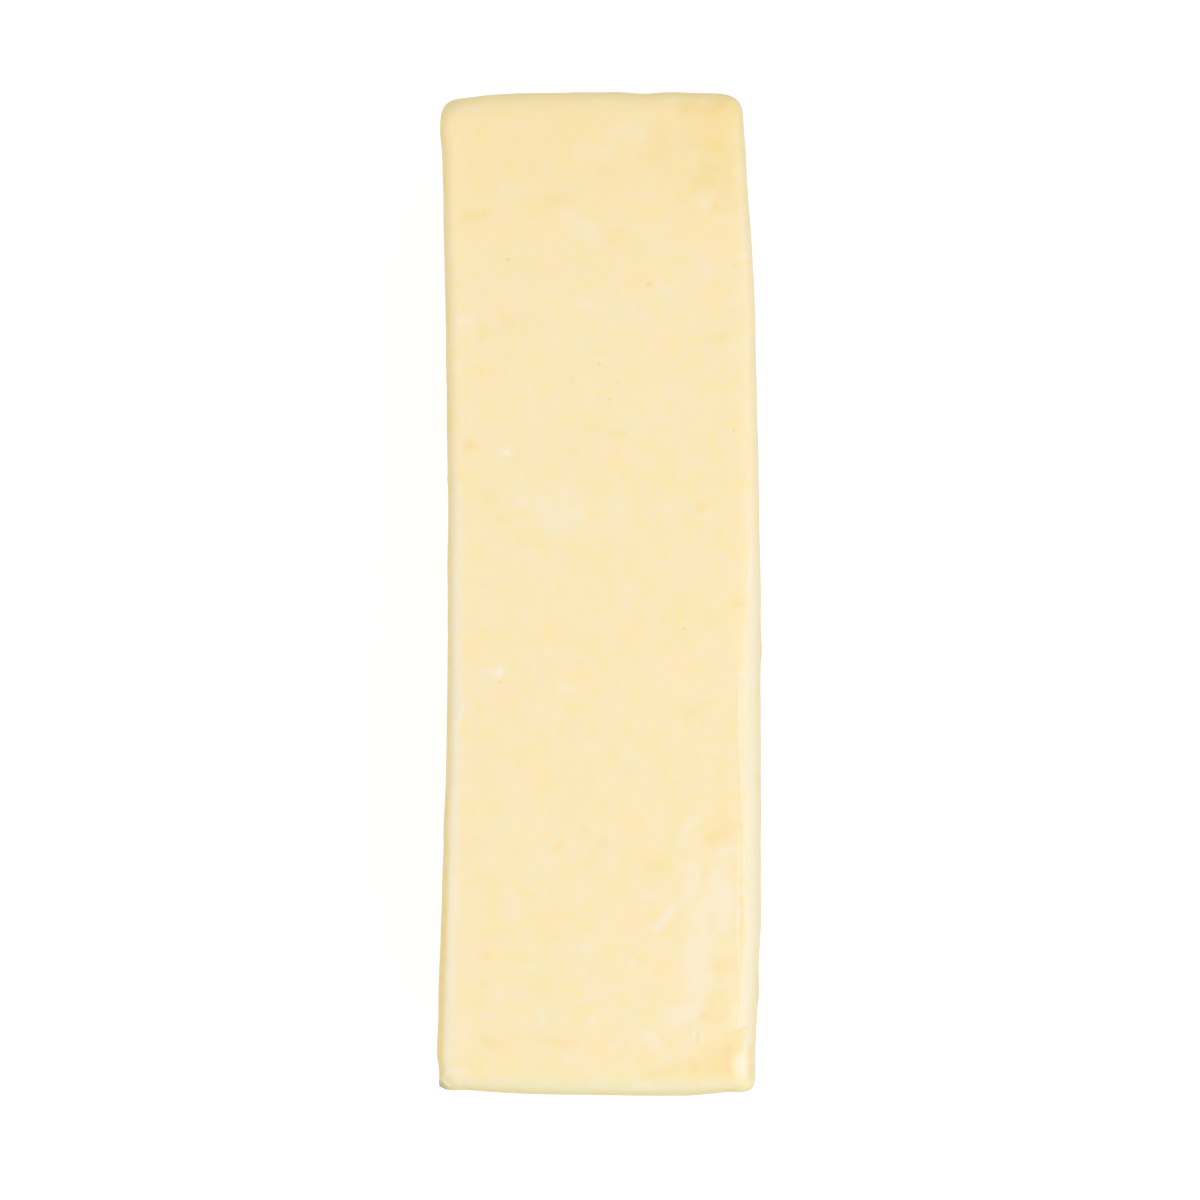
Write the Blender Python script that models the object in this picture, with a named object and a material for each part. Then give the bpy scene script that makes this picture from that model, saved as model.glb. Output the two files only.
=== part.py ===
"""A cheddar block: one five pound loaf of pale cheese, pressed, cut square and rounded by its wrap.

It lies on its base with its length along Y and its shown face up, so its right wall faces +X and
its far end +Y. Units are metres. The plain brick that the loaf starts from is centred on the Z
axis with its base at z = 0, and every number below describes how the loaf departs from it.
"""

import math

import bmesh
import bpy
from mathutils import Vector, noise

OBJECT_NAME = "cheddar_block"

# The brick: length along Y, width across the middle of the length, height of the middle.
LENGTH = 0.280
WIDTH = 0.0871
HEIGHT = 0.0858

# Plan shape: the loaf narrows towards its far end and bows towards its right wall.
TAPER = 0.00116
BARREL = 0.00030
BOW = 0.00312
DRIFT = 0.00043
FAR_CROWN = 0.00106
FAR_SLANT = 0.00042
NEAR_CROWN = 0.00130
NEAR_SLANT = 0.00050

# Soft swells and hollows along the walls, left by the mould and the wrap: the wall, the place
# along it, the half length, and how far it stands out.
SWELLS = (
    ("left", 0.130, 0.004, 0.00031),
    ("left", 0.066, 0.006, 0.00026),
    ("left", 0.030, 0.016, -0.00014),
    ("left", -0.072, 0.005, -0.00022),
    ("left", -0.112, 0.006, 0.00017),
    ("left", -0.130, 0.004, 0.00033),
    ("left", -0.137, 0.006, -0.00091),
    ("right", 0.114, 0.016, -0.00011),
    ("right", 0.080, 0.012, 0.00040),
    ("right", 0.016, 0.006, -0.00023),
    ("right", -0.002, 0.006, 0.00021),
    ("right", -0.036, 0.020, -0.00048),
    ("right", -0.094, 0.012, 0.00050),
    ("right", -0.118, 0.008, 0.00023),
    ("right", -0.136, 0.004, 0.00020),
    ("far", 0.037, 0.004, -0.00035),
    ("far", 0.011, 0.004, -0.00045),
    ("far", -0.003, 0.006, 0.00013),
    ("far", -0.040, 0.005, -0.00056),
    ("near", 0.037, 0.004, -0.00022),
    ("near", 0.025, 0.008, 0.00040),
    ("near", -0.009, 0.016, -0.00015),
)

# Walls and top: the walls swell a little at half height, the top is crowned and falls at its ends.
WALL_SWELL = 0.0008
END_SWELL = 0.0005
TOP_CROWN = 0.0005
TOP_FALL = 0.0008

# Unevenness left by pressing and wrapping: broad wobble, then shallow ripples.
WOBBLE = 0.0004
WOBBLE_SPAN = 0.060
RIPPLE = 0.00025
RIPPLE_SPAN = 0.021
RIPPLE_OFFSET = Vector((3.1, 7.4, 1.9))
NOISE_SEED = 36

# Rounding of the edges. The brick has one bevel all round, which each edge makes sharper or softer.
BEVEL = 0.007
BEVEL_SEGMENTS = 5
LEFT_TOP = 0.0050
RIGHT_TOP_FAR_HALF = 0.0042
RIGHT_TOP_NEAR_HALF = 0.0066
FAR_TOP = 0.0068
NEAR_TOP = 0.0066
LONG_BASE = 0.0048
END_BASE = 0.0052
FAR_LEFT = 0.0058
FAR_RIGHT = 0.0052
NEAR_LEFT = 0.0012
NEAR_RIGHT = 0.0024

# Knife facets: the direction that each faces, and its depth under what stands furthest out there.
FACETS = (
    (Vector((0.37, -0.049, 0.93)).normalized(), 0.00036),
    (Vector((-0.66, -0.62, 0.42)).normalized(), 0.00110),
)

# Rows of faces between the bevels, along the length, across the width and up the height.
ROWS_ALONG = 46
ROWS_ACROSS = 12
ROWS_UP = 12

CHEESE_COLOUR = (0.86, 0.71, 0.42, 1.0)
CHEESE_ROUGHNESS = 0.42


def clear_scene():
    """Removes whatever objects the file opened with."""
    for thing in list(bpy.data.objects):
        bpy.data.objects.remove(thing, do_unlink=True)


def smoothstep(low, high, value):
    """Eases from 0 at low to 1 at high."""
    share = min(max((value - low) / (high - low), 0.0), 1.0)
    return share * share * (3.0 - 2.0 * share)


def mix(first, second, share):
    """Value between first and second."""
    return first + (second - first) * share


def squareness(radius):
    """Superellipse exponent that makes the brick's bevel round an edge as this radius would."""
    reach = math.sqrt(2.0) - (math.sqrt(2.0) - 1.0) * radius / BEVEL
    return 1.0 / (0.5 - math.log2(reach))


def edge_radii(direction, along):
    """Radii of the edge along Y, the edge along X and the upright edge nearest to a point."""
    right_top = mix(RIGHT_TOP_NEAR_HALF, RIGHT_TOP_FAR_HALF, smoothstep(-0.25, 0.25, along))
    if direction.z > 0.0:
        long_edge = right_top if direction.x > 0.0 else LEFT_TOP
        end_edge = FAR_TOP if direction.y > 0.0 else NEAR_TOP
    else:
        long_edge = LONG_BASE
        end_edge = END_BASE
    if direction.y > 0.0:
        upright_edge = FAR_RIGHT if direction.x > 0.0 else FAR_LEFT
    else:
        upright_edge = NEAR_RIGHT if direction.x > 0.0 else NEAR_LEFT
    return long_edge, end_edge, upright_edge


def soften_edges(point):
    """Moves a point of the bevel in or out, so that each edge has its own rounding."""
    core = Vector((
        max(min(point.x, WIDTH / 2 - BEVEL), BEVEL - WIDTH / 2),
        max(min(point.y, LENGTH / 2 - BEVEL), BEVEL - LENGTH / 2),
        max(min(point.z, HEIGHT - BEVEL), BEVEL),
    ))
    direction = (point - core).normalized()
    x, y, z = (abs(value) for value in direction)
    weights = ((x * z) ** 2, (y * z) ** 2, (x * y) ** 2)
    if sum(weights) < 1e-9:
        return point.copy()
    radii = edge_radii(direction, point.y / (LENGTH / 2))
    power = sum(w * squareness(r) for w, r in zip(weights, radii)) / sum(weights)
    reach = (x ** power + y ** power + z ** power) ** (-1.0 / power)
    return core + direction * reach * BEVEL


def swell_of(wall, place):
    """How far a wall stands out at a place along it."""
    return sum(
        height * math.exp(-((place - middle) / reach) ** 2)
        for name, middle, reach, height in SWELLS if name == wall
    )


def bend_to_loaf(point):
    """Gives the brick the loaf's taper, bow, crowned ends and swollen walls."""
    across = point.x / (WIDTH / 2)
    along = point.y / (LENGTH / 2)
    up = point.z / HEIGHT
    middle = 4.0 * up * (1.0 - up)

    half_width = WIDTH / 2 - TAPER * along - BARREL * along ** 2 + WALL_SWELL * middle
    centre = -DRIFT * along - BOW * along ** 2
    x = across * half_width + centre
    x += max(across, 0.0) * swell_of("right", point.y) - max(-across, 0.0) * swell_of("left", point.y)

    far_end = FAR_SLANT * across - FAR_CROWN * across ** 2
    near_end = NEAR_SLANT * across - NEAR_CROWN * across ** 2
    far_end += swell_of("far", x)
    near_end += swell_of("near", x)
    y = point.y + max(along, 0.0) * far_end - max(-along, 0.0) * near_end
    y += along * END_SWELL * middle

    z = point.z + up * (TOP_CROWN * (1.0 - across ** 2) - TOP_FALL * along ** 4)
    return Vector((x, y, z))


def roughen(point):
    """Adds the slight unevenness of pressed cheese, and leaves the base flat."""
    shift = noise.noise_vector(point / WOBBLE_SPAN) * WOBBLE
    shift += noise.noise_vector(point / RIPPLE_SPAN + RIPPLE_OFFSET) * RIPPLE
    shift.z *= smoothstep(0.0, BEVEL, point.z)
    return point + shift


def slice_facets(brick):
    """Lays what stands beyond each knife facet down on its plane."""
    for facing, depth in FACETS:
        level = max(vertex.co.dot(facing) for vertex in brick.verts) - depth
        for vertex in brick.verts:
            beyond = vertex.co.dot(facing) - level
            if beyond > 0.0:
                vertex.co -= facing * beyond


def make_brick():
    """A box with one bevel on all its edges and even rows of faces between the bevels."""
    brick = bmesh.new()
    bmesh.ops.create_cube(brick, size=1.0)
    bmesh.ops.scale(brick, vec=(WIDTH, LENGTH, HEIGHT), verts=brick.verts)
    bmesh.ops.translate(brick, vec=(0.0, 0.0, HEIGHT / 2), verts=brick.verts)
    bmesh.ops.bevel(
        brick, geom=brick.edges[:], offset=BEVEL, offset_type="OFFSET", affect="EDGES",
        segments=BEVEL_SEGMENTS, profile=0.5, material=-1,
    )
    for axis, rows in ((0, ROWS_ACROSS), (1, ROWS_ALONG), (2, ROWS_UP)):
        runs = [
            edge for edge in brick.edges
            if abs(edge.verts[0].co[axis] - edge.verts[1].co[axis]) > 2 * BEVEL
        ]
        bmesh.ops.subdivide_edges(brick, edges=runs, cuts=rows - 1, use_grid_fill=True)
    return brick


def shape_loaf(brick):
    """Moves every point of the brick to its place, then centres the loaf over the origin."""
    noise.seed_set(NOISE_SEED)
    for vertex in brick.verts:
        vertex.co = roughen(bend_to_loaf(soften_edges(vertex.co)))
    low = [min(vertex.co[axis] for vertex in brick.verts) for axis in range(2)]
    high = [max(vertex.co[axis] for vertex in brick.verts) for axis in range(2)]
    centre = Vector(((low[0] + high[0]) / 2, (low[1] + high[1]) / 2, 0.0))
    bmesh.ops.translate(brick, vec=-centre, verts=brick.verts)
    slice_facets(brick)


def cheese_material():
    """Pale creamy yellow with a soft waxy gloss."""
    material = bpy.data.materials.new("cheddar")
    material.use_nodes = True
    surface = material.node_tree.nodes["Principled BSDF"]
    surface.inputs["Base Color"].default_value = CHEESE_COLOUR
    surface.inputs["Roughness"].default_value = CHEESE_ROUGHNESS
    surface.inputs["Metallic"].default_value = 0.0
    material.diffuse_color = CHEESE_COLOUR
    return material


def build_block(collection):
    """Makes the loaf and links it into the collection."""
    brick = make_brick()
    shape_loaf(brick)
    bmesh.ops.recalc_face_normals(brick, faces=brick.faces)
    mesh = bpy.data.meshes.new(OBJECT_NAME)
    brick.to_mesh(mesh)
    brick.free()
    mesh.materials.append(cheese_material())
    mesh.shade_smooth()
    block = bpy.data.objects.new(OBJECT_NAME, mesh)
    collection.objects.link(block)


clear_scene()
parts = bpy.data.collections.new(OBJECT_NAME)
bpy.context.scene.collection.children.link(parts)
build_block(parts)
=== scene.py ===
import math
import random

import bmesh
import bpy
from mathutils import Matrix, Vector, noise


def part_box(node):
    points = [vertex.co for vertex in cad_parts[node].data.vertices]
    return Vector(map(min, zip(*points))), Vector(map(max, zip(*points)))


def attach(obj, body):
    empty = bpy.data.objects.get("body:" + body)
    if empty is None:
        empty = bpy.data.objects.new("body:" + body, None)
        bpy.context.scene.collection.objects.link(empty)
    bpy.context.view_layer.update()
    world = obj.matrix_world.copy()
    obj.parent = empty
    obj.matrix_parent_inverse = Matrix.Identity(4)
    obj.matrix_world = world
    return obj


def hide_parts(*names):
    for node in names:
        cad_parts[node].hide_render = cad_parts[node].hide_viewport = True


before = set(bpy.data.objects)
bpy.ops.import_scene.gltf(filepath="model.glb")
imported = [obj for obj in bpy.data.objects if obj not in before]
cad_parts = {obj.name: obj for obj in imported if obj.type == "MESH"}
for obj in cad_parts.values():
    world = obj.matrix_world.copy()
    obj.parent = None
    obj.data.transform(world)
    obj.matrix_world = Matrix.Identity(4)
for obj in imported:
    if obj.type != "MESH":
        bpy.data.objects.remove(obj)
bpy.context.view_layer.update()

box_low, box_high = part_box("cheddar_block")


# The loaf
# Five pounds of pale cheddar: curd pressed in a mould, cut square, then drawn tight in a bag
# under vacuum, which rounded its edges and left soft dimples, creases and a waxy skin.
# It starts from the same brick as the solid, with finer rows, and takes the same form.

LENGTH = 0.280
WIDTH = 0.0871
HEIGHT = 0.0858
TAPER = 0.00116
BARREL = 0.00030
BOW = 0.00312
DRIFT = 0.00043
FAR_CROWN = 0.00106
FAR_SLANT = 0.00042
NEAR_CROWN = 0.00130
NEAR_SLANT = 0.00050
# Soft swells and hollows along the walls, left by the mould and the wrap: the wall, the place
# along it, the half length, and how far it stands out.
SWELLS = (
    ("left", 0.130, 0.004, 0.00031),
    ("left", 0.066, 0.006, 0.00026),
    ("left", 0.030, 0.016, -0.00014),
    ("left", -0.072, 0.005, -0.00022),
    ("left", -0.112, 0.006, 0.00017),
    ("left", -0.130, 0.004, 0.00033),
    ("left", -0.137, 0.006, -0.00091),
    ("right", 0.114, 0.016, -0.00011),
    ("right", 0.080, 0.012, 0.00040),
    ("right", 0.016, 0.006, -0.00023),
    ("right", -0.002, 0.006, 0.00021),
    ("right", -0.036, 0.020, -0.00048),
    ("right", -0.094, 0.012, 0.00050),
    ("right", -0.118, 0.008, 0.00023),
    ("right", -0.136, 0.004, 0.00020),
    ("far", 0.037, 0.004, -0.00035),
    ("far", 0.011, 0.004, -0.00045),
    ("far", -0.003, 0.006, 0.00013),
    ("far", -0.040, 0.005, -0.00056),
    ("near", 0.037, 0.004, -0.00022),
    ("near", 0.025, 0.008, 0.00040),
    ("near", -0.009, 0.016, -0.00015),
)
WALL_SWELL = 0.0008
END_SWELL = 0.0005
TOP_CROWN = 0.0005
TOP_FALL = 0.0008
WOBBLE = 0.0004
WOBBLE_SPAN = 0.060
RIPPLE = 0.00025
RIPPLE_SPAN = 0.021
RIPPLE_OFFSET = Vector((3.1, 7.4, 1.9))
NOISE_SEED = 36

BEVEL = 0.007
BEVEL_SEGMENTS = 10
LEFT_TOP = 0.0050
RIGHT_TOP_FAR_HALF = 0.0042
RIGHT_TOP_NEAR_HALF = 0.0066
FAR_TOP = 0.0068
NEAR_TOP = 0.0066
LONG_BASE = 0.0048
END_BASE = 0.0052
FAR_LEFT = 0.0058
FAR_RIGHT = 0.0052
NEAR_LEFT = 0.0012
NEAR_RIGHT = 0.0024
FACETS = (
    (Vector((0.37, -0.049, 0.93)).normalized(), 0.00036),
    (Vector((-0.66, -0.62, 0.42)).normalized(), 0.00110),
)

ROWS_ALONG = 280
ROWS_ACROSS = 78
ROWS_UP = 56


def smoothstep(low, high, value):
    """Eases from 0 at low to 1 at high."""
    share = min(max((value - low) / (high - low), 0.0), 1.0)
    return share * share * (3.0 - 2.0 * share)


def mix(first, second, share):
    """Value between first and second."""
    return first + (second - first) * share


def squareness(radius):
    """Superellipse exponent that makes the brick's bevel round an edge as this radius would."""
    reach = math.sqrt(2.0) - (math.sqrt(2.0) - 1.0) * radius / BEVEL
    return 1.0 / (0.5 - math.log2(reach))


def edge_radii(direction, along):
    """Radii of the edge along Y, the edge along X and the upright edge nearest to a point."""
    right_top = mix(RIGHT_TOP_NEAR_HALF, RIGHT_TOP_FAR_HALF, smoothstep(-0.25, 0.25, along))
    if direction.z > 0.0:
        long_edge = right_top if direction.x > 0.0 else LEFT_TOP
        end_edge = FAR_TOP if direction.y > 0.0 else NEAR_TOP
    else:
        long_edge = LONG_BASE
        end_edge = END_BASE
    if direction.y > 0.0:
        upright_edge = FAR_RIGHT if direction.x > 0.0 else FAR_LEFT
    else:
        upright_edge = NEAR_RIGHT if direction.x > 0.0 else NEAR_LEFT
    return long_edge, end_edge, upright_edge


def soften_edges(point):
    """Moves a point of the bevel in or out, so that each edge has its own rounding."""
    core = Vector((
        max(min(point.x, WIDTH / 2 - BEVEL), BEVEL - WIDTH / 2),
        max(min(point.y, LENGTH / 2 - BEVEL), BEVEL - LENGTH / 2),
        max(min(point.z, HEIGHT - BEVEL), BEVEL),
    ))
    direction = (point - core).normalized()
    x, y, z = (abs(value) for value in direction)
    weights = ((x * z) ** 2, (y * z) ** 2, (x * y) ** 2)
    if sum(weights) < 1e-9:
        return point.copy()
    radii = edge_radii(direction, point.y / (LENGTH / 2))
    power = sum(w * squareness(r) for w, r in zip(weights, radii)) / sum(weights)
    reach = (x ** power + y ** power + z ** power) ** (-1.0 / power)
    return core + direction * reach * BEVEL


def swell_of(wall, place):
    """How far a wall stands out at a place along it."""
    return sum(
        height * math.exp(-((place - middle) / reach) ** 2)
        for name, middle, reach, height in SWELLS if name == wall
    )


def bend_to_loaf(point):
    """Gives the brick the loaf's taper, bow, crowned ends and swollen walls."""
    across = point.x / (WIDTH / 2)
    along = point.y / (LENGTH / 2)
    up = point.z / HEIGHT
    middle = 4.0 * up * (1.0 - up)

    half_width = WIDTH / 2 - TAPER * along - BARREL * along ** 2 + WALL_SWELL * middle
    centre = -DRIFT * along - BOW * along ** 2
    x = across * half_width + centre
    x += max(across, 0.0) * swell_of("right", point.y) - max(-across, 0.0) * swell_of("left", point.y)

    far_end = FAR_SLANT * across - FAR_CROWN * across ** 2
    near_end = NEAR_SLANT * across - NEAR_CROWN * across ** 2
    far_end += swell_of("far", x)
    near_end += swell_of("near", x)
    y = point.y + max(along, 0.0) * far_end - max(-along, 0.0) * near_end
    y += along * END_SWELL * middle

    z = point.z + up * (TOP_CROWN * (1.0 - across ** 2) - TOP_FALL * along ** 4)
    return Vector((x, y, z))


def roughen(point):
    """Adds the slight unevenness of pressed cheese, and leaves the base flat."""
    shift = noise.noise_vector(point / WOBBLE_SPAN) * WOBBLE
    shift += noise.noise_vector(point / RIPPLE_SPAN + RIPPLE_OFFSET) * RIPPLE
    shift.z *= smoothstep(0.0, BEVEL, point.z)
    return point + shift


def slice_facets(brick):
    """Lays what stands beyond each knife facet down on its plane."""
    for facing, depth in FACETS:
        level = max(vertex.co.dot(facing) for vertex in brick.verts) - depth
        for vertex in brick.verts:
            beyond = vertex.co.dot(facing) - level
            if beyond > 0.0:
                vertex.co -= facing * beyond


def make_brick():
    """A box with one bevel on all its edges and even rows of faces between the bevels."""
    brick = bmesh.new()
    bmesh.ops.create_cube(brick, size=1.0)
    bmesh.ops.scale(brick, vec=(WIDTH, LENGTH, HEIGHT), verts=brick.verts)
    bmesh.ops.translate(brick, vec=(0.0, 0.0, HEIGHT / 2), verts=brick.verts)
    bmesh.ops.bevel(
        brick, geom=brick.edges[:], offset=BEVEL, offset_type="OFFSET", affect="EDGES",
        segments=BEVEL_SEGMENTS, profile=0.5, material=-1,
    )
    for axis, rows in ((0, ROWS_ACROSS), (1, ROWS_ALONG), (2, ROWS_UP)):
        runs = [
            edge for edge in brick.edges
            if abs(edge.verts[0].co[axis] - edge.verts[1].co[axis]) > 2 * BEVEL
        ]
        bmesh.ops.subdivide_edges(brick, edges=runs, cuts=rows - 1, use_grid_fill=True)
    return brick


def shape_loaf(brick):
    """Moves every point of the brick to its place, and centres the loaf on the solid's box."""
    noise.seed_set(NOISE_SEED)
    for vertex in brick.verts:
        vertex.co = roughen(bend_to_loaf(soften_edges(vertex.co)))
    low = [min(vertex.co[axis] for vertex in brick.verts) for axis in range(2)]
    high = [max(vertex.co[axis] for vertex in brick.verts) for axis in range(2)]
    middle = (box_low + box_high) / 2
    shift = (middle.x - (low[0] + high[0]) / 2, middle.y - (low[1] + high[1]) / 2, 0.0)
    bmesh.ops.translate(brick, vec=shift, verts=brick.verts)
    slice_facets(brick)


def flatten_base(brick):
    """Makes one face of the flat part of the base, which nothing there needs rows for."""
    bare = {face for face in brick.faces if all(vertex.co.z < 1e-6 for vertex in face.verts)}
    inner = [edge for edge in brick.edges if all(face in bare for face in edge.link_faces)]
    bmesh.ops.dissolve_edges(brick, edges=inner, use_verts=True)


# Marks in the skin. A crease names its face and is given in that face's own two directions: x and
# y on the top, y and z on the long walls, x and z on the ends. Spots, pale smears (partly painted
# sheen and highlights) and warm patches are given in x and y, and all lie on the top. The top's marks
# reach a little way over its edges.

TOP = HEIGHT
TOP_REACH = 0.003
CREASES = (
    # face, points, half width, height out of the skin
    ("top", ((0.0385, -0.0233), (0.0387, -0.0294), (0.0388, -0.0392), (0.0391, -0.0461),
             (0.0396, -0.0572), (0.0401, -0.0710), (0.0402, -0.0816), (0.0402, -0.0932),
             (0.0399, -0.1057), (0.0394, -0.1154), (0.0385, -0.1209)), 0.00042, 0.00019),
    ("top", ((0.0384, -0.0697), (0.0383, -0.0918), (0.0388, -0.1126)), 0.00036, 0.00012),
    ("top", ((0.0363, -0.1226), (0.0413, -0.1201)), 0.00042, -0.00026),
    ("top", ((0.0355, -0.1240), (0.0399, -0.1221)), 0.00042, 0.00024),
    ("top", ((0.0263, -0.1193), (0.0258, -0.1243)), 0.00047, 0.00016),
    ("top", ((0.0288, -0.1198), (0.0277, -0.1254)), 0.00047, 0.00016),
    ("top", ((-0.0374, -0.0303), (-0.0383, -0.0333), (-0.0398, -0.0372)), 0.00036, 0.00018),
    ("top", ((-0.0438, -0.1348), (-0.0428, -0.1356), (-0.0417, -0.1367)), 0.00033, 0.00030),
    ("right", ((-0.118, 0.072), (-0.098, 0.050), (-0.090, 0.018)), 0.0013, 0.00044),
    ("right", ((-0.020, 0.076), (-0.008, 0.058), (-0.004, 0.044)), 0.0012, 0.00034),
    ("right", ((0.052, 0.014), (0.066, 0.030), (0.071, 0.052)), 0.0014, 0.00037),
    ("right", ((0.112, 0.074), (0.119, 0.040)), 0.0012, -0.00037),
    ("left", ((-0.126, 0.060), (-0.104, 0.046), (-0.096, 0.020)), 0.0013, 0.00041),
    ("left", ((-0.046, 0.010), (-0.034, 0.032), (-0.037, 0.056)), 0.0013, -0.00037),
    ("left", ((0.030, 0.078), (0.044, 0.050), (0.046, 0.030)), 0.0012, 0.00037),
    ("left", ((0.098, 0.012), (0.110, 0.036), (0.128, 0.050)), 0.0014, 0.00041),
    ("near", ((-0.040, 0.066), (-0.018, 0.050), (0.006, 0.046), (0.024, 0.028)), 0.0013, 0.00044),
    ("near", ((0.038, 0.064), (0.024, 0.052), (0.006, 0.046)), 0.0013, 0.00037),
    ("far", ((-0.036, 0.024), (-0.014, 0.038), (0.010, 0.040)), 0.0013, 0.00044),
    ("far", ((0.034, 0.070), (0.022, 0.052), (0.010, 0.040), (0.012, 0.016)), 0.0013, 0.00037),
)
SPOTS = (
    # place, radius, height out of the skin
    ((0.0000, 0.0640), 0.00045, -0.00035),
    ((-0.0076, 0.0601), 0.00038, -0.00025),
    ((0.0055, 0.0587), 0.00038, -0.00025),
    ((0.0029, 0.0540), 0.00045, -0.00035),
    ((-0.0252, 0.0928), 0.00040, -0.00025),
    ((0.0136, 0.0859), 0.00034, -0.00020),
    ((0.0373, 0.0454), 0.00034, -0.00020),
    ((0.0374, 0.0912), 0.00034, -0.00020),
    ((0.0233, -0.0095), 0.00042, -0.00025),
    ((0.0236, -0.0139), 0.00034, -0.00020),
    ((-0.0274, -0.0245), 0.00036, -0.00025),
    ((-0.0255, 0.0393), 0.00080, 0.00020),
    ((-0.0281, -0.0217), 0.00095, 0.00025),
)
# Pale smears, partly painted sheen and painted highlights along creases and edges where the waxy skin
# catches the light.
PALE_AND_SHEEN_STROKES = (
    # points, half width, strength
    (((0.0335, -0.0807), (0.0341, -0.0904)), 0.0044, 0.75),
    (((0.0297, -0.0891), (0.0280, -0.0988), (0.0274, -0.1085)), 0.0039, 0.75),
    (((0.0272, -0.1126), (0.0252, -0.1154), (0.0216, -0.1182)), 0.0025, 0.90),
    (((0.0258, -0.0755), (0.0263, -0.0807), (0.0247, -0.0849)), 0.0019, 0.70),
    (((0.0272, -0.0624), (0.0247, -0.0649), (0.0225, -0.0691)), 0.0014, 0.75),
    (((0.0202, -0.0868), (0.0180, -0.0904), (0.0161, -0.0924)), 0.0014, 0.95),
    (((0.0335, -0.0719), (0.0383, -0.0716)), 0.0014, 0.75),
    (((0.0141, -0.0843), (0.0161, -0.0830)), 0.0008, 0.70),
    (((0.0089, -0.1032), (0.0097, -0.1021)), 0.0008, 0.90),
    (((0.0119, -0.1071), (0.0141, -0.1038)), 0.0019, 0.35),
    (((0.0136, -0.1223), (0.0152, -0.1237)), 0.0017, 0.60),
    (((0.0155, -0.1265), (0.0202, -0.1287)), 0.0014, 0.35),
    (((0.0266, -0.1198), (0.0258, -0.1248)), 0.0008, 0.60),
    (((0.0383, -0.1148), (0.0377, -0.1193)), 0.0011, 0.60),
    (((0.0416, -0.1221), (0.0405, -0.1276)), 0.0005, 1.00),
    (((0.0402, -0.1287), (0.0394, -0.1331)), 0.0010, 0.85),
    (((0.0291, -0.1354), (0.0330, -0.1362)), 0.0011, 0.50),
    (((0.0103, -0.1365), (0.0141, -0.1362)), 0.0011, 0.80),
    (((-0.0025, -0.1362), (0.0008, -0.1362)), 0.0011, 0.50),
    (((0.0385, -0.0267), (0.0388, -0.0416)), 0.0004, 0.45),
    (((0.0391, -0.0222), (0.0399, -0.0228)), 0.0008, 0.90),
    (((0.0424, 0.0127), (0.0419, -0.0012)), 0.0008, 0.55),
    (((0.0383, -0.0114), (0.0385, -0.0184)), 0.0004, 0.50),
    (((0.0394, 0.0939), (0.0413, 0.0939)), 0.0007, 0.80),
    (((-0.0402, -0.0572), (-0.0405, -0.0849), (-0.0409, -0.1126), (-0.0406, -0.1298)), 0.0017, 0.35),
    (((-0.0047, -0.0990), (-0.0033, -0.0982)), 0.0012, 0.85),
    (((-0.0018, -0.1179), (-0.0015, -0.1179)), 0.0012, 0.75),
    (((-0.0190, -0.1038), (-0.0187, -0.1038)), 0.0010, 0.75),
    (((-0.0161, -0.1162), (-0.0155, -0.1193)), 0.0010, 0.65),
    (((0.0036, -0.1262), (0.0055, -0.1248)), 0.0011, 0.50),
    (((-0.0093, -0.1290), (-0.0090, -0.1290)), 0.0010, 0.60),
    (((-0.0373, -0.1229), (-0.0370, -0.1229)), 0.0007, 0.80),
    (((-0.0408, -0.1329), (-0.0380, -0.1323)), 0.0011, 0.70),
    (((-0.0438, -0.1348), (-0.0428, -0.1356), (-0.0417, -0.1367)), 0.0003, 1.00),
    (((0.0007, -0.0916), (0.0010, -0.0916)), 0.0017, 0.35),
    (((-0.0272, 0.0393), (-0.0250, 0.0393)), 0.0014, 0.85),
    (((-0.0286, -0.0217), (-0.0274, -0.0214)), 0.0017, 0.80),
    (((-0.0219, 0.0296), (-0.0211, 0.0243)), 0.0012, 0.50),
    (((-0.0161, 0.0246), (-0.0130, 0.0199), (-0.0080, 0.0218)), 0.0030, 0.50),
    (((-0.0212, -0.0067), (-0.0209, -0.0067)), 0.0011, 0.60),
    (((-0.0284, -0.0056), (-0.0281, -0.0056)), 0.0011, 0.40),
    (((-0.0100, -0.0256), (-0.0072, -0.0250)), 0.0019, 0.50),
    (((-0.0369, -0.0311), (-0.0358, -0.0322)), 0.0007, 0.70),
    (((-0.0374, -0.0303), (-0.0383, -0.0333), (-0.0398, -0.0372)), 0.0006, 1.00),
    (((-0.0337, 0.0684), (-0.0334, 0.0684)), 0.0010, 0.60),
    (((-0.0377, 0.0754), (-0.0358, 0.0751)), 0.0014, 0.50),
    (((-0.0053, 0.0806), (-0.0008, 0.0795)), 0.0014, 0.55),
    (((-0.0044, 0.1225), (0.0003, 0.1225)), 0.0025, 0.40),
    (((0.0044, 0.1278), (0.0114, 0.1286)), 0.0025, 0.45),
    (((-0.0067, 0.1042), (-0.0031, 0.1003)), 0.0036, 0.40),
    (((-0.0195, 0.1025), (-0.0193, 0.1025)), 0.0017, 0.40),
    (((0.0301, 0.1081), (0.0304, 0.1081)), 0.0014, 0.50),
    (((0.0288, 0.0920), (0.0291, 0.0881)), 0.0022, 0.30),
    (((-0.0391, 0.1344), (-0.0335, 0.1347)), 0.0007, 0.60),
)
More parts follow.
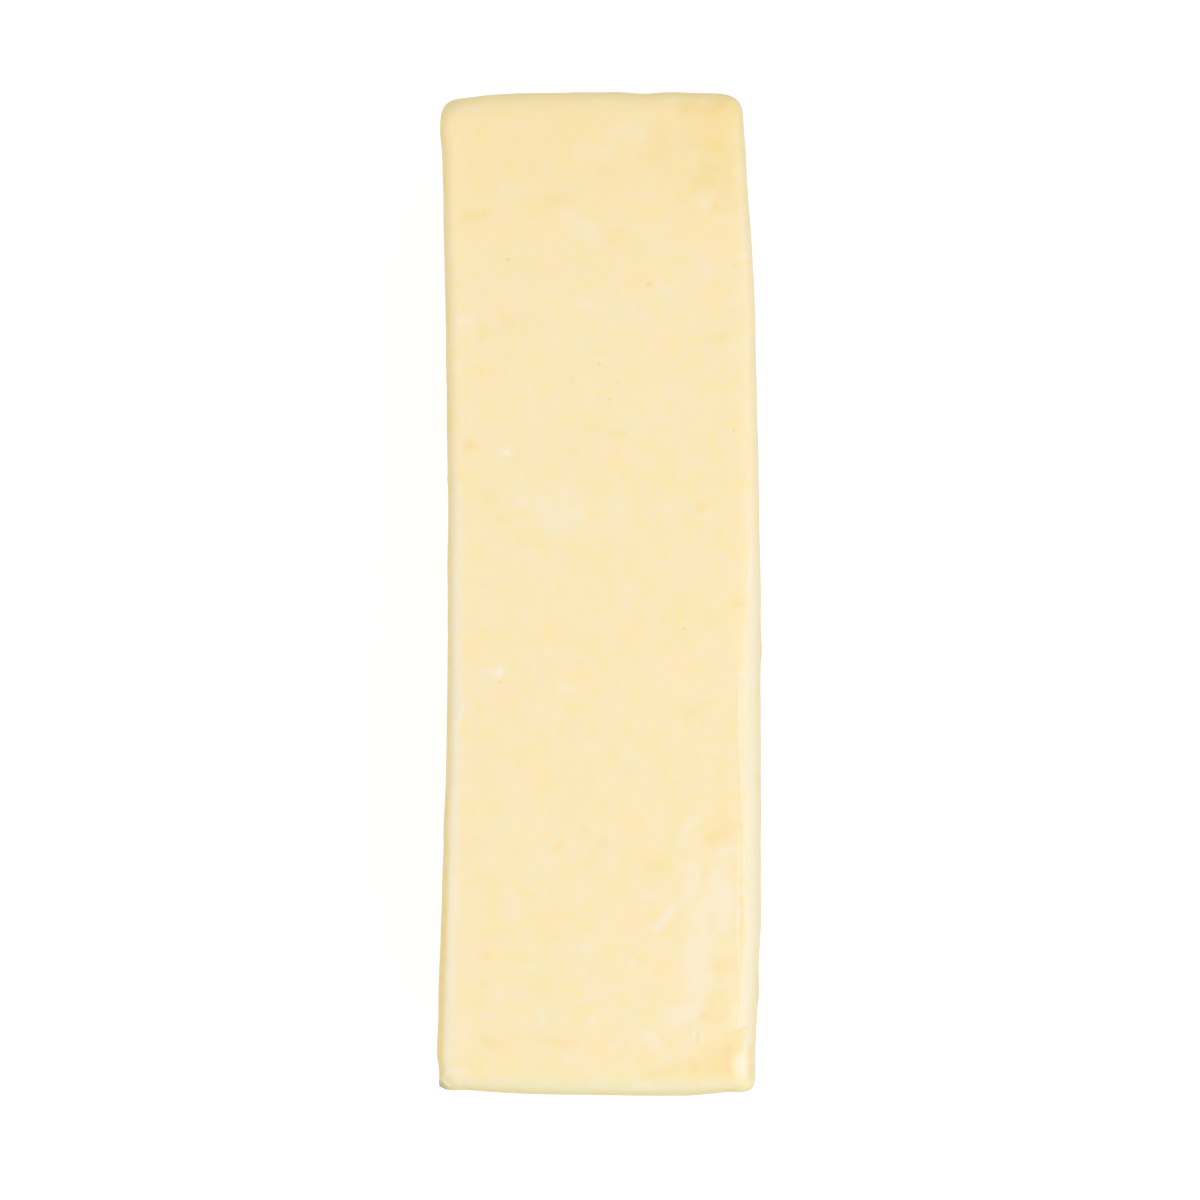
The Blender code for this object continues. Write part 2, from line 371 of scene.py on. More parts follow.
WARM_STROKES = (
    # points, half width, strength
    (((0.0380, -0.1248), (0.0360, -0.1282)), 0.0030, 1.00),
    (((0.0341, -0.1279), (0.0280, -0.1298), (0.0225, -0.1309)), 0.0022, 0.60),
    (((0.0202, -0.1315), (0.0128, -0.1337)), 0.0019, 0.40),
    (((0.0358, -0.1320), (0.0280, -0.1326)), 0.0028, 0.60),
    (((0.0347, -0.1226), (0.0405, -0.1207)), 0.0008, 0.70),
    (((0.0421, -0.1270), (0.0423, -0.1343)), 0.0008, 0.90),
    (((0.0284, -0.1168), (0.0287, -0.1168)), 0.0011, 0.90),
    (((0.0347, -0.1168), (0.0313, -0.1182)), 0.0014, 0.35),
    (((0.0347, -0.0633), (0.0324, -0.0677)), 0.0033, 0.55),
    (((0.0147, -0.0752), (0.0186, -0.0755)), 0.0019, 0.35),
    (((0.0297, -0.0766), (0.0291, -0.0799)), 0.0011, 0.50),
    (((0.0311, -0.0891), (0.0308, -0.0927)), 0.0012, 0.80),
    (((0.0219, -0.0807), (0.0227, -0.0788)), 0.0011, 0.35),
    (((0.0330, -0.1043), (0.0377, -0.1021)), 0.0019, 0.35),
    (((0.0335, -0.1104), (0.0302, -0.1132)), 0.0014, 0.35),
    (((0.0396, -0.0843), (0.0399, -0.0974)), 0.0006, 0.50),
    (((0.0263, 0.1341), (0.0358, 0.1333)), 0.0047, 0.85),
    (((0.0272, 0.1272), (0.0349, 0.1230)), 0.0047, 0.60),
    (((0.0280, 0.1153), (0.0349, 0.1169), (0.0352, 0.1106)), 0.0036, 0.60),
    (((0.0324, 0.1070), (0.0372, 0.1075)), 0.0022, 0.45),
    (((0.0191, 0.1266), (0.0155, 0.1203)), 0.0033, 0.35),
    (((-0.0372, 0.1050), (-0.0330, 0.1050)), 0.0019, 0.55),
    (((-0.0280, 0.0781), (-0.0252, 0.0742)), 0.0017, 0.50),
    (((-0.0319, 0.0737), (-0.0330, 0.0715)), 0.0014, 0.40),
    (((-0.0182, 0.1175), (-0.0179, 0.1175)), 0.0017, 0.40),
    (((-0.0128, 0.1095), (-0.0080, 0.1092)), 0.0022, 0.35),
    (((0.0049, 0.0995), (0.0051, 0.0995)), 0.0017, 0.40),
    (((0.0039, 0.1169), (0.0003, 0.1181)), 0.0014, 0.30),
    (((0.0140, 0.0856), (0.0143, 0.0856)), 0.0012, 0.50),
    (((0.0365, 0.0776), (0.0367, 0.0776)), 0.0014, 0.45),
    (((0.0313, 0.0704), (0.0347, 0.0718)), 0.0014, 0.40),
    (((-0.0359, 0.0410), (-0.0356, 0.0410)), 0.0014, 0.75),
    (((-0.0304, 0.0268), (-0.0301, 0.0268)), 0.0019, 0.45),
    (((-0.0265, 0.0207), (-0.0262, 0.0207)), 0.0014, 0.40),
    (((0.0036, 0.0443), (0.0064, 0.0446)), 0.0012, 0.40),
    (((0.0046, 0.0382), (0.0049, 0.0382)), 0.0011, 0.35),
    (((0.0241, 0.0216), (0.0280, 0.0243)), 0.0017, 0.40),
    (((0.0390, -0.0028), (0.0392, -0.0028)), 0.0014, 0.60),
    (((0.0024, 0.0041), (0.0026, 0.0041)), 0.0012, 0.40),
    (((-0.0132, -0.0078), (-0.0129, -0.0078)), 0.0012, 0.35),
    (((0.0112, -0.0192), (0.0115, -0.0192)), 0.0014, 0.30),
    (((-0.0049, -0.0197), (-0.0046, -0.0197)), 0.0014, 0.35),
    (((-0.0082, -0.0372), (-0.0079, -0.0372)), 0.0022, 0.40),
    (((0.0247, -0.0328), (0.0288, -0.0308)), 0.0014, 0.40),
    (((-0.0043, -0.0652), (-0.0040, -0.0652)), 0.0010, 0.60),
    (((-0.0115, -0.0697), (-0.0112, -0.0697)), 0.0010, 0.55),
    (((-0.0019, -0.0727), (0.0017, -0.0677)), 0.0012, 0.40),
    (((-0.0331, -0.0691), (-0.0329, -0.0691)), 0.0017, 0.40),
    (((-0.0312, -0.1004), (-0.0309, -0.1004)), 0.0012, 0.55),
    (((-0.0168, -0.1112), (-0.0165, -0.1112)), 0.0014, 0.40),
    (((-0.0172, -0.1237), (-0.0064, -0.1251)), 0.0011, 0.45),
    (((-0.0330, -0.1232), (-0.0274, -0.1254)), 0.0014, 0.50),
    (((-0.0317, -0.1085), (-0.0315, -0.1085)), 0.0011, 0.40),
)

# A crease narrower than the fine mark gets a finer mesh as far as the refine reach. Creases wander,
# fade over a few half widths at their tips and end at a few half widths to either side.
FINE_MARK = 0.0008
REFINE_REACH = 0.0013
REFINE_CUTS = 2
WANDER = 0.0004
WANDER_SPAN = 0.005
TIP_FADE = 5.0
MARK_END = 3.0

# Smears and patches are ragged by a share of their half width, coarsely and half as much finely.
# Their strength rises from nothing to full between these shares of it.
RAGGED = 0.7
RAGGED_SPAN = 0.0045
RAGGED_FINE_SPAN = 0.0015
STROKE_EDGE = (1.6, 0.2)

# Smears and patches on the unseen faces, scattered with the sizes of those on the top.
WALL_STROKES = 38
END_STROKES = 13
SCATTER_RUN = (0.0005, 0.0060)
SCATTER_WIDTH = (0.0010, 0.0032)
SCATTER_STRENGTH = (0.15, 0.45)
PALE_SEED = 5
WARM_SEED = 8


def face_of(place):
    """The name of the face that a place lies on, and the place in that face's two directions."""
    faces = {
        "top": (place.z - TOP + TOP_REACH, (place.x, place.y)),
        "right": (place.x - WIDTH / 2, (place.y, place.z)),
        "left": (-place.x - WIDTH / 2, (place.y, place.z)),
        "far": (place.y - LENGTH / 2, (place.x, place.z)),
        "near": (-place.y - LENGTH / 2, (place.x, place.z)),
    }
    name = max(faces, key=lambda name: faces[name][0])
    return name, faces[name][1]


def stroke_distance(spot, points):
    """Distance from a spot to a stroke."""
    nearest = math.inf
    for (start_u, start_v), (end_u, end_v) in zip(points, points[1:]):
        run_u, run_v = end_u - start_u, end_v - start_v
        share = (spot[0] - start_u) * run_u + (spot[1] - start_v) * run_v
        share = min(max(share / (run_u ** 2 + run_v ** 2), 0.0), 1.0)
        off = math.hypot(spot[0] - start_u - share * run_u, spot[1] - start_v - share * run_v)
        nearest = min(nearest, off)
    return nearest


def near_a_mark(place):
    """Whether a place lies close to a fine crease or a spot, which need a finer mesh."""
    name, spot = face_of(place)
    for face, points, half_width, _ in CREASES:
        if face == name and half_width < FINE_MARK:
            if stroke_distance(spot, points) < REFINE_REACH:
                return True
    if name != "top":
        return False
    return any(math.dist(spot, centre) < REFINE_REACH for centre, _, _ in SPOTS)


def refine_marks(brick):
    """Splits the faces round each fine mark closely enough to carry it."""
    marked = {face for face in brick.faces if near_a_mark(face.calc_center_median())}
    edges = [edge for edge in brick.edges if any(face in marked for face in edge.link_faces)]
    bmesh.ops.subdivide_edges(brick, edges=edges, cuts=REFINE_CUTS, use_grid_fill=True)


# Shallow dimples all over, and a puckered oval on the top where the wrap clung by the right edge.
DIMPLE = 0.00012
DIMPLE_SPAN = 0.013
DIMPLE_LAYERS = 3
PUCKER = 0.00030
PUCKER_SPAN = 0.010
PUCKER_CENTRE = (0.030, -0.092)
PUCKER_REACH = (0.017, 0.046)
PUCKER_EDGE = (1.2, 0.5)


def relief(place):
    """Height of the skin above the plain form at a place on the loaf."""
    height = noise.fractal(place / DIMPLE_SPAN, 1.0, 2.0, DIMPLE_LAYERS) * DIMPLE
    name, spot = face_of(place)
    wander = noise.noise_vector(place / WANDER_SPAN) * WANDER
    wandered = (spot[0] + wander.x, spot[1] + wander.y)
    for face, points, half_width, rise in CREASES:
        if face == name:
            off = stroke_distance(wandered, points)
            if off < MARK_END * half_width:
                to_tip = min(math.dist(spot, points[0]), math.dist(spot, points[-1]))
                fade = smoothstep(0.0, TIP_FADE * half_width, to_tip)
                height += rise * fade * math.exp(-(off / half_width) ** 2)
    if name == "top":
        off_u = (spot[0] - PUCKER_CENTRE[0]) / PUCKER_REACH[0]
        off_v = (spot[1] - PUCKER_CENTRE[1]) / PUCKER_REACH[1]
        zone = smoothstep(*PUCKER_EDGE, math.hypot(off_u, off_v))
        height += zone * noise.noise(place / PUCKER_SPAN) * PUCKER
        for centre, radius, rise in SPOTS:
            off = math.dist(spot, centre)
            if off < MARK_END * radius:
                height += rise * math.exp(-(off / radius) ** 2)
    return height


def add_relief(brick):
    """Raises and sinks the skin along its normals, and leaves the base flat."""
    brick.normal_update()
    moves = [
        vertex.normal * relief(vertex.co) * smoothstep(0.0, BEVEL, vertex.co.z)
        for vertex in brick.verts
    ]
    for vertex, move in zip(brick.verts, moves):
        vertex.co += move


def scatter(rng, count, half_run):
    """Short soft strokes, like those on the top, scattered over a face of this half run."""
    strokes = []
    for _ in range(count):
        start = (rng.uniform(-half_run, half_run), rng.uniform(0.0, HEIGHT))
        turn = rng.uniform(0.0, math.tau)
        run = rng.uniform(*SCATTER_RUN)
        end = (start[0] + run * math.cos(turn), start[1] + run * math.sin(turn))
        strokes.append(((start, end), rng.uniform(*SCATTER_WIDTH), rng.uniform(*SCATTER_STRENGTH)))
    return strokes


def strokes_by_face(top_strokes, seed):
    """The strokes seen on the top, with scattered ones for the walls and the ends."""
    rng = random.Random(seed)
    return {
        "top": top_strokes,
        "left": scatter(rng, WALL_STROKES, LENGTH / 2),
        "right": scatter(rng, WALL_STROKES, LENGTH / 2),
        "far": scatter(rng, END_STROKES, WIDTH / 2),
        "near": scatter(rng, END_STROKES, WIDTH / 2),
    }


def stroke_strength(place, strokes):
    """How much of any of these strokes lies on a place, from 0 to 1, with soft ragged outlines."""
    name, spot = face_of(place)
    shift = noise.noise_vector(place / RAGGED_SPAN) * RAGGED
    shift += noise.noise_vector(place / RAGGED_FINE_SPAN) * RAGGED / 2
    best = 0.0
    for points, half_width, strength in strokes[name]:
        ragged = (spot[0] + shift.x * half_width, spot[1] + shift.y * half_width)
        share = stroke_distance(ragged, points) / half_width
        best = max(best, strength * smoothstep(*STROKE_EDGE, share))
    return best


# Where the skin has dried pale, with a painted highlight on the lit edges, and where it deepens to
# the yellow of the walls, partly painted shade. Each pair says where a change starts and where it is
# complete: how far the skin faces that way, or a place on the loaf.
DRY_SPAN = 0.004
DRY_RAGGED = 0.02
FACES_LEFT = (0.1, 0.4)
FACES_RIGHT = (0.2, 0.7)
TURNS_RIGHT = (-0.2, 0.2)
FACES_NEAR = (0.1, 0.3)
LEAVES_FLAT = (0.994, 0.925)
LEAVES_FLAT_RIGHT = (0.985, 0.870)
FACES_UP = (0.58, 0.86)
FACES_UP_NEAR_LEFT = (0.75, 0.96)
FACES_UP_NEAR_RIGHT = (0.46, 0.76)
NEAR_PART_LEFT = (-0.03, -0.09)
NEAR_PART_RIGHT = (0.03, -0.03)
FAR_PART = (-0.010, 0.060)
RIGHT_EDGE = (HEIGHT - 0.014, HEIGHT - 0.003)
# The right wall's upper edge is paler, partly dried and partly a painted highlight.
RIGHT_EDGE_DRY_AND_LIT = 0.45
# The right wall's lit upper edge is kept paler, and the near left rim is deepened as painted shade.
RIGHT_EDGE_LIT_PALER = 0.9
FOOT = (0.5 * HEIGHT, 0.1 * HEIGHT)
FOOT_DRY = 0.35
NEAR_END_LESS_DRY = 0.5
FAR_LEFT_DRY = 0.05
FAR_RIGHT_DRY = 0.35
TURNS_DOWN = (0.80, 0.48)
TURNS_DOWN_NEAR_LEFT = (0.88, 0.62)
OVER_THE_EDGE = (0.05, 0.35)
NEAR_LEFT_SHADE = 0.4


def mix_pairs(first, second, share):
    """Pair of values between two pairs."""
    return mix(first[0], second[0], share), mix(first[1], second[1], share)


def edge_of_right_wall(place, normal):
    """How far a place belongs to the upper edge of the right wall, which is paler than the others, a
    painted highlight where the light falls.
    """
    return smoothstep(*FACES_RIGHT, normal.x) * smoothstep(*RIGHT_EDGE, place.z)


def near_half_of_left_wall(place, normal):
    """How far a place belongs to the near half of the left wall, whose rim is painted a darker yellow
    to its edge as painted shade.
    """
    return smoothstep(*FACES_LEFT, -normal.x) * smoothstep(*NEAR_PART_LEFT, place.y)


def dryness_and_highlight(place, normal):
    """How far the skin is paler, partly dried and partly a painted highlight on the lit edges: half
    way over each edge, and most along the near half.
    """
    flattest = max(abs(part) for part in normal) + noise.noise(place / DRY_SPAN) * DRY_RAGGED
    right = smoothstep(*TURNS_RIGHT, normal.x)
    band = smoothstep(*mix_pairs(LEAVES_FLAT, LEAVES_FLAT_RIGHT, right), flattest)
    foot = FOOT_DRY * smoothstep(*FOOT, place.z)
    near_right = right * smoothstep(*NEAR_PART_RIGHT, place.y)
    faces_up = mix_pairs(FACES_UP, FACES_UP_NEAR_LEFT, near_half_of_left_wall(place, normal))
    faces_up = mix_pairs(faces_up, FACES_UP_NEAR_RIGHT, near_right)
    upper = smoothstep(*faces_up, normal.z)
    upper = max(upper, RIGHT_EDGE_DRY_AND_LIT * edge_of_right_wall(place, normal))
    upper *= 1.0 - NEAR_END_LESS_DRY * smoothstep(*FACES_NEAR, -normal.y)
    upper *= mix(1.0, mix(FAR_LEFT_DRY, FAR_RIGHT_DRY, right), smoothstep(*FAR_PART, place.y))
    return band * max(upper, foot)


def sidewards(place, normal):
    """How far the skin has turned from the top to the deeper yellow of the walls, partly their own
    colour and partly painted shade: deepest at the near left rim, and lightest at the lit upper edge
    of the right wall.
    """
    near_left = near_half_of_left_wall(place, normal)
    turned = smoothstep(*mix_pairs(TURNS_DOWN, TURNS_DOWN_NEAR_LEFT, near_left), normal.z)
    paler = 1.0 - RIGHT_EDGE_LIT_PALER * edge_of_right_wall(place, normal)
    strip = near_left * smoothstep(*OVER_THE_EDGE, normal.z)
    return turned * paler * (1.0 + NEAR_LEFT_SHADE * strip)


def store_skin(mesh):
    """Stores at each point the dried paleness with its painted highlight, the pale smears with their
    painted sheen, the warm patches, and how far down the side the skin is, which carries the sides'
    painted shade.
    """
    pale_and_sheen_strokes = strokes_by_face(PALE_AND_SHEEN_STROKES, PALE_SEED)
    warm_strokes = strokes_by_face(WARM_STROKES, WARM_SEED)
    fields = {
        "dry_and_highlight": lambda vertex: dryness_and_highlight(vertex.co, vertex.normal),
        "pale": lambda vertex: stroke_strength(vertex.co, pale_and_sheen_strokes),
        "warm": lambda vertex: stroke_strength(vertex.co, warm_strokes),
        "side": lambda vertex: sidewards(vertex.co, vertex.normal),
    }
    for name, measure in fields.items():
        stored = mesh.attributes.new(name, "FLOAT", "POINT")
        for vertex, value in zip(mesh.vertices, stored.data):
            value.value = measure(vertex)


brick = make_brick()
shape_loaf(brick)
flatten_base(brick)
refine_marks(brick)
add_relief(brick)
bmesh.ops.recalc_face_normals(brick, faces=brick.faces)
loaf_mesh = bpy.data.meshes.new("cheese_loaf")
brick.to_mesh(loaf_mesh)
brick.free()
loaf_mesh.shade_smooth()
store_skin(loaf_mesh)
loaf = bpy.data.objects.new("cheese_loaf", loaf_mesh)
bpy.context.scene.collection.objects.link(loaf)


class Wire:
    """One output in a material's nodes. Arithmetic on wires adds Math nodes."""

    def __init__(self, tree, socket=None):
        self.tree = tree
        self.socket = socket

    def node(self, kind, settings, inputs, output=0):
        """Adds a node, sets it up, and feeds each named input a value or a wire."""
        added = self.tree.nodes.new(kind)
        for name, value in settings.items():
            setattr(added, name, value)
        for name, value in inputs.items():
            if isinstance(value, Wire):
                self.tree.links.new(value.socket, added.inputs[name])
            else:
                added.inputs[name].default_value = value
        return Wire(self.tree, added.outputs[output])

    def math(self, operation, first, second):
        """Joins two values or wires with one Math node."""
        return self.node("ShaderNodeMath", {"operation": operation}, {0: first, 1: second})

    def __add__(self, other):
        return self.math("ADD", self, other)

    def __radd__(self, other):
        return self.math("ADD", other, self)

    def __sub__(self, other):
        return self.math("SUBTRACT", self, other)

    def __rsub__(self, other):
        return self.math("SUBTRACT", other, self)

    def __mul__(self, other):
        return self.math("MULTIPLY", self, other)

    def __rmul__(self, other):
        return self.math("MULTIPLY", other, self)

    def eased(self, low, high):
        """0 below low, 1 above high, and a smooth rise between."""
        settings = {"interpolation_type": "SMOOTHSTEP"}
        return self.node(
            "ShaderNodeMapRange", settings, {"Value": self, "From Min": low, "From Max": high},
        )

    def tint(self, first, second):
        """The first colour where this mask is 0 and the second where it is 1."""
        settings = {"data_type": "RGBA"}
        return self.node("ShaderNodeMix", settings, {0: self, 6: first, 7: second}, output=2)

    def attribute(self, name):
        """A value that the mesh stores at its points."""
        return self.node("ShaderNodeAttribute", {"attribute_name": name}, {}, output="Fac")

    def noise(self, scale, detail, roughness=0.5):
        """Clouds on this vector, with this many to the metre."""
        inputs = {"Vector": self, "Scale": scale, "Detail": detail, "Roughness": roughness}
        return self.node("ShaderNodeTexNoise", {"noise_dimensions": "3D"}, inputs)

    def around(self, centre, inner, outer):
        """1 within the inner distance from a place, and 0 beyond the outer one."""
        settings = {"operation": "DISTANCE"}
        away = self.node("ShaderNodeVectorMath", settings, {0: self, 1: centre}, output="Value")
        return 1.0 - away.eased(inner, outer)


CREAM = (0.882, 0.753, 0.490, 1.0)
WARM = (0.880, 0.741, 0.392, 1.0)
PALE = (0.880, 0.766, 0.550, 1.0)
DEEP = (0.876, 0.697, 0.325, 1.0)
ORANGE = (0.862, 0.664, 0.275, 1.0)
ROSY = (0.882, 0.742, 0.490, 1.0)
# The walls' deeper yellow, partly their own colour and partly painted shade on the sides.
WALL_YELLOW_AND_SHADE = (0.880, 0.686, 0.255, 1.0)
# Pale smears, partly painted sheen and highlights.
SMEAR_AND_SHEEN = (0.884, 0.798, 0.650, 1.0)
# Dried edges, partly a painted highlight along the lit bevels.
DRY_EDGE_AND_HIGHLIGHT = (0.852, 0.785, 0.610, 1.0)
# Painted shade in the pits.
PIT_SHADE = (0.78, 0.62, 0.35, 1.0)
CRYSTAL = (0.90, 0.82, 0.66, 1.0)
# Painted shade for the corners, and a painted grey shadow for the near left tip.
CORNER_SHADE = (0.57, 0.53, 0.25, 1.0)
FOLD_SHADOW_GREY = (0.46, 0.39, 0.31, 1.0)
# Painted shade for the near rim and painted light for the far rim.
NEAR_RIM_SHADE = (0.78, 0.745, 0.42, 1.0)
FAR_RIM_LIGHT = (0.97, 0.80, 0.42, 1.0)

# Corners painted darker as painted shade where the skin rolls under, darkest at the near left one,
# which has a painted grey shadow at its tip.
SHADED_CORNERS = (
    # place, where the tone starts to fade and where it ends, colour, strength
    ((-0.0436, -0.1374, 0.0830), (0.0005, 0.0065), CORNER_SHADE, 0.70),
    ((-0.0426, 0.1366, 0.0830), (0.0005, 0.0065), CORNER_SHADE, 0.30),
    ((0.0426, -0.1368, 0.0830), (0.0005, 0.0065), CORNER_SHADE, 0.12),
    ((-0.0439, -0.1376, 0.0800), (0.0010, 0.0026), FOLD_SHADOW_GREY, 0.75),
)

# Clouds in the curd: their scale to the metre, and where each starts and is complete.
CURD_SCALE = 260.0
CURD_EDGE = (0.44, 0.64)
CLOUD_SCALE = 70.0
CLOUD_EDGE = (0.40, 0.62)
DRIFT_SCALE = 18.0
MOTTLE = (
    # colour, scale to the metre, where it starts and is complete, strength
    (PALE, 150.0, (0.52, 0.70), 0.5),
    (ROSY, 95.0, (0.50, 0.64), 0.4),
)

# How strongly each layer of colour shows, with the share that the clouds add to it.
CURD_WARMTH = 0.62
CLOUD_WARMTH = 0.20
FAR_END = (0.075, 0.140)
FAR_END_STRENGTH = 0.38
# Painted shade along the near rim and painted light along the far rim, on the upper part of the ends.
RIM_LEVEL = (0.060, 0.078)
NEAR_RIM_EDGE = (-0.1375, -0.1300)
NEAR_RIM_STRENGTH = 0.35
FAR_RIM_EDGE = (0.1340, 0.1385)
FAR_RIM_STRENGTH = 0.50
WALL_AND_SHADE_STRENGTH = 0.50
WARM_STRENGTH = 0.55
CURD_SHARE = 0.30
DRY_AND_HIGHLIGHT_STRENGTH = 0.60
DRIFT_SHARE = 0.50
SMEAR_AND_SHEEN_STRENGTH = 0.70
SPOT_STRENGTH = 0.60
SPOT_EDGE = (0.5, 1.6)

# Waxy skin: smears are glossier than the rest, and a fine grain breaks up the shine.
ROUGHNESS = 0.44
CURD_ROUGHER = 0.08
CLOUD_ROUGHER = 0.06
SMEAR_GLOSSIER = 0.14
GRAIN_SCALE = 900.0
GRAIN_SHARE = 0.4
KNIT_SCALE = 240.0
KNIT_SHARE = 0.6
GRAIN_STRENGTH = 0.25
GRAIN_DEPTH = 0.0002
SKIN = {
    "Subsurface Weight": 0.6,
    "Subsurface Radius": (1.0, 0.65, 0.30),
    "Subsurface Scale": 0.004,
    "IOR": 1.38,
    "Coat Weight": 0.30,
    "Coat Roughness": 0.20,
    "Coat IOR": 1.40,
}


def cheese_finish():
    """Mottled curd under a thin waxy skin: paler where the edges have dried and where highlights and
    sheen are painted, with painted shade on the sides, the near rim, the corners and the pits, and
    painted light on the far rim.
    """
    material = bpy.data.materials.new("cheddar_skin")
    material.use_nodes = True
    tree = material.node_tree
    surface = tree.nodes["Principled BSDF"]
    start = Wire(tree)
    place = start.node("ShaderNodeTexCoord", {}, {}, output="Object")
    dry_and_highlight = start.attribute("dry_and_highlight")
    pale = start.attribute("pale")
    warm = start.attribute("warm")
    side = start.attribute("side")

    curd = place.noise(CURD_SCALE, 3.0, 0.6).eased(*CURD_EDGE)
    clouds = place.noise(CLOUD_SCALE, 2.0).eased(*CLOUD_EDGE)
    drift = place.noise(DRIFT_SCALE, 2.0)
    length = place.node("ShaderNodeSeparateXYZ", {}, {"Vector": place}, output="Y")
    level = place.node("ShaderNodeSeparateXYZ", {}, {"Vector": place}, output="Z")
    upper = level.eased(*RIM_LEVEL)
    colour = (curd * CURD_WARMTH + clouds * CLOUD_WARMTH).tint(CREAM, WARM)
    for mottle, scale, edge, strength in MOTTLE:
        colour = (place.noise(scale, 2.0).eased(*edge) * strength).tint(colour, mottle)
    colour = (length.eased(*FAR_END) * FAR_END_STRENGTH).tint(colour, DEEP)
    # The walls' deeper yellow, partly painted shade on the sides.
    colour = (side * (WALL_AND_SHADE_STRENGTH + curd * CURD_SHARE)).tint(colour, WALL_YELLOW_AND_SHADE)
    # Dried edges, partly a painted highlight along the lit bevels.
    colour = (dry_and_highlight * (DRY_AND_HIGHLIGHT_STRENGTH + drift * DRIFT_SHARE)).tint(colour, DRY_EDGE_AND_HIGHLIGHT)
    # Painted shade on the near rim and painted light on the far rim.
    near_rim_shade = NEAR_RIM_STRENGTH - length.eased(*NEAR_RIM_EDGE) * NEAR_RIM_STRENGTH
    far_rim_light = length.eased(*FAR_RIM_EDGE) * FAR_RIM_STRENGTH
    colour = (near_rim_shade * upper).tint(colour, NEAR_RIM_SHADE)
    colour = (far_rim_light * upper).tint(colour, FAR_RIM_LIGHT)
    # Painted shade at the corners, with a painted grey shadow at the near left tip.
    for corner, reach, tone, strength in SHADED_CORNERS:
        colour = (place.around(corner, *reach) * strength).tint(colour, tone)
    colour = (warm * (WARM_STRENGTH + curd * CURD_SHARE)).tint(colour, ORANGE)
    # Pale smears, partly painted sheen and highlights.
    colour = (pale * SMEAR_AND_SHEEN_STRENGTH).tint(colour, SMEAR_AND_SHEEN)
    # Painted shade in the pits; the raised crystals keep their own pale colour.
    for spot, radius, rise in SPOTS:
        centre = Vector((spot[0], spot[1], TOP))
        mask = place.around(centre, radius * SPOT_EDGE[0], radius * SPOT_EDGE[1]) * SPOT_STRENGTH
        colour = mask.tint(colour, PIT_SHADE if rise < 0.0 else CRYSTAL)
    tree.links.new(colour.socket, surface.inputs["Base Color"])

    roughness = ROUGHNESS + curd * CURD_ROUGHER + clouds * CLOUD_ROUGHER - pale * SMEAR_GLOSSIER
    tree.links.new(roughness.socket, surface.inputs["Roughness"])
    grain = place.noise(GRAIN_SCALE, 3.0, 0.6) * GRAIN_SHARE
    height = grain + place.noise(KNIT_SCALE, 3.0) * KNIT_SHARE
    bumps = {"Height": height, "Strength": GRAIN_STRENGTH, "Distance": GRAIN_DEPTH}
    tree.links.new(start.node("ShaderNodeBump", {}, bumps).socket, surface.inputs["Normal"])
    for socket, value in SKIN.items():
        surface.inputs[socket].default_value = value
    return material


loaf_mesh.materials.append(cheese_finish())
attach(loaf, "root")
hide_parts("cheddar_block")


# The table under the loaf
# A plain white matt sheet, much larger than any view of the loaf. It stays white up to the loaf,
# and throws no light back on it.

TABLE_SIZE = 8.0
TABLE_GAP = 0.0002
TABLE_WHITE = (0.40, 0.40, 0.40, 1.0)
TABLE_GLOW = 1.75
TABLE_ROUGHNESS = 0.9


def table_finish():
    """Matt white with a slight glow of its own."""
    material = bpy.data.materials.new("white_table")
    material.use_nodes = True
    surface = material.node_tree.nodes["Principled BSDF"]
    surface.inputs["Base Color"].default_value = TABLE_WHITE
    surface.inputs["Roughness"].default_value = TABLE_ROUGHNESS
    surface.inputs["Emission Color"].default_value = TABLE_WHITE
    surface.inputs["Emission Strength"].default_value = TABLE_GLOW
    return material


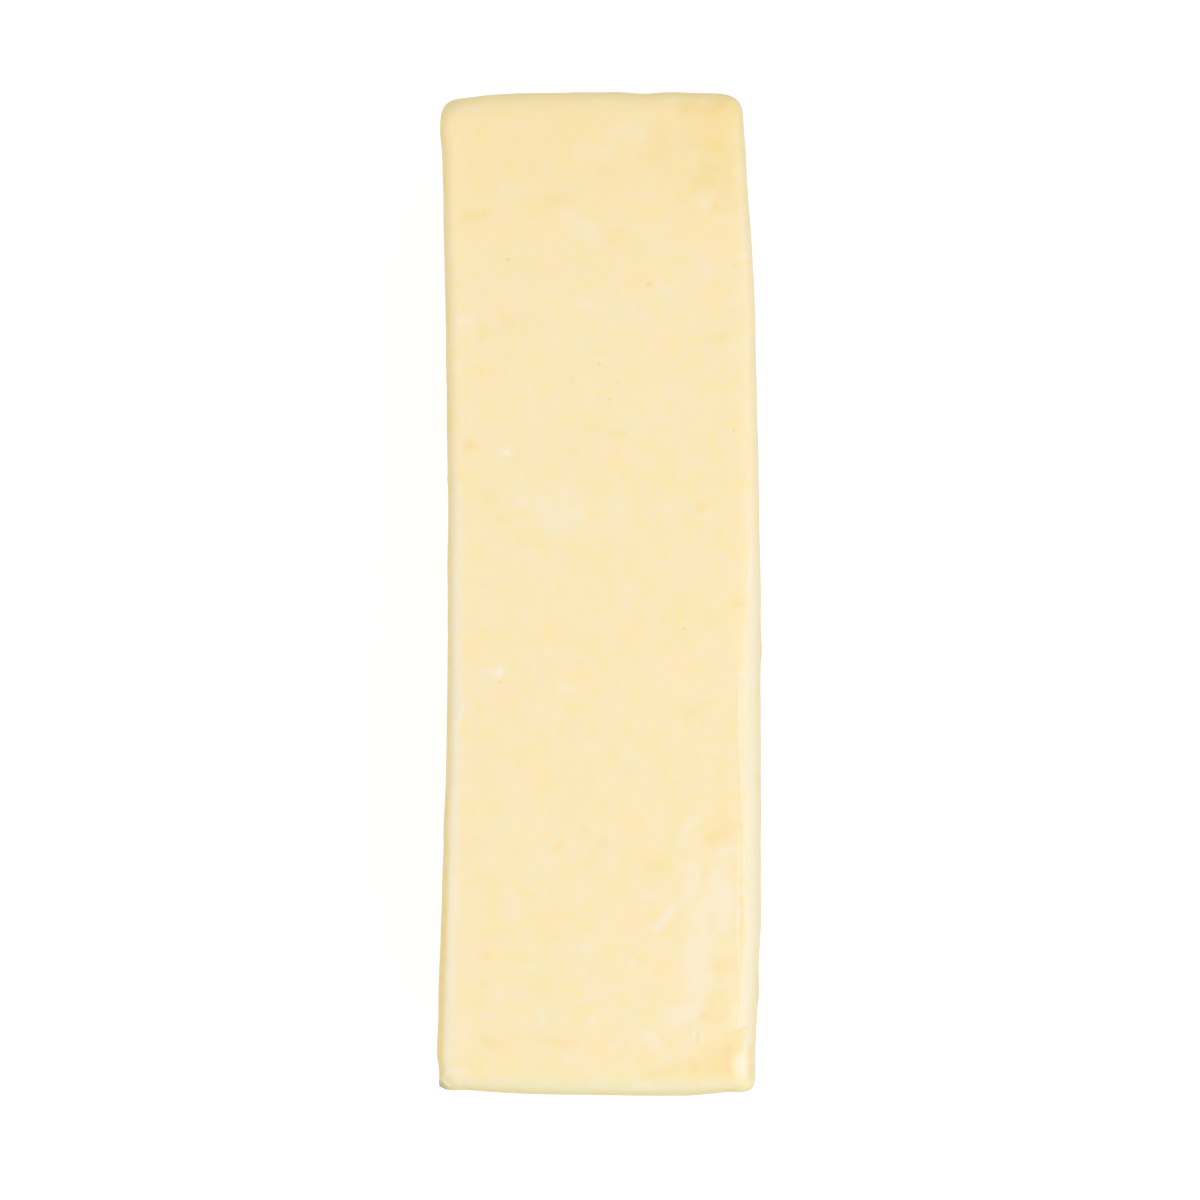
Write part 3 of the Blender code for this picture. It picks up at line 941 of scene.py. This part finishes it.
sheet = bmesh.new()
bmesh.ops.create_grid(sheet, x_segments=1, y_segments=1, size=TABLE_SIZE / 2)
bmesh.ops.translate(sheet, vec=(0.0, 0.0, -TABLE_GAP), verts=sheet.verts)
table_mesh = bpy.data.meshes.new("table")
sheet.to_mesh(table_mesh)
sheet.free()
table_mesh.materials.append(table_finish())
table = bpy.data.objects.new("table", table_mesh)
bpy.context.scene.collection.objects.link(table)
table.visible_diffuse = False
table.visible_glossy = False


# Light and camera
# Soft studio light, stronger from the right and a little from the near end, with the camera
# straight above the loaf and the far end at the top of the picture.

SOFTBOXES = (
    # name, place, power in watts
    ("key", (0.80, -0.40, 1.10), 6.8),
    ("fill", (-0.85, 0.20, 1.04), 3.4),
)
SOFTBOX_SIZE = 0.9
LIGHT_AIM = Vector((0.0, 0.0, 0.04))
STUDIO_WHITE = (1.0, 1.0, 1.0, 1.0)
STUDIO_STRENGTH = 0.726


def softbox(name, place, power):
    """A square area light aimed at the loaf, which the camera doesn't see."""
    lamp = bpy.data.lights.new(name, "AREA")
    lamp.shape = "SQUARE"
    lamp.size = SOFTBOX_SIZE
    lamp.energy = power
    holder = bpy.data.objects.new(name, lamp)
    holder.location = place
    holder.rotation_euler = (LIGHT_AIM - Vector(place)).to_track_quat("-Z", "Y").to_euler()
    holder.visible_camera = False
    bpy.context.scene.collection.objects.link(holder)


for name, place, power in SOFTBOXES:
    softbox(name, place, power)

world = bpy.data.worlds.new("studio")
world.use_nodes = True
backdrop = world.node_tree.nodes["Background"]
backdrop.inputs["Color"].default_value = STUDIO_WHITE
backdrop.inputs["Strength"].default_value = STUDIO_STRENGTH
bpy.context.scene.world = world
bpy.context.scene.view_settings.view_transform = "Standard"
bpy.context.scene.view_settings.look = "None"

# The picture is this wide at the height where the loaf's outline is widest.
LENS = 100.0
SENSOR = 36.0
PICTURE_WIDTH = 0.3352
OUTLINE_HEIGHT = 0.0795
CAMERA_X = 0.00028
CAMERA_Y = -0.00172
CLIP_END = 20.0

lens = bpy.data.cameras.new("camera")
lens.lens = LENS
lens.sensor_width = SENSOR
lens.clip_end = CLIP_END
camera = bpy.data.objects.new("camera", lens)
camera.location = (CAMERA_X, CAMERA_Y, OUTLINE_HEIGHT + PICTURE_WIDTH * LENS / SENSOR)
bpy.context.scene.collection.objects.link(camera)
bpy.context.scene.camera = camera
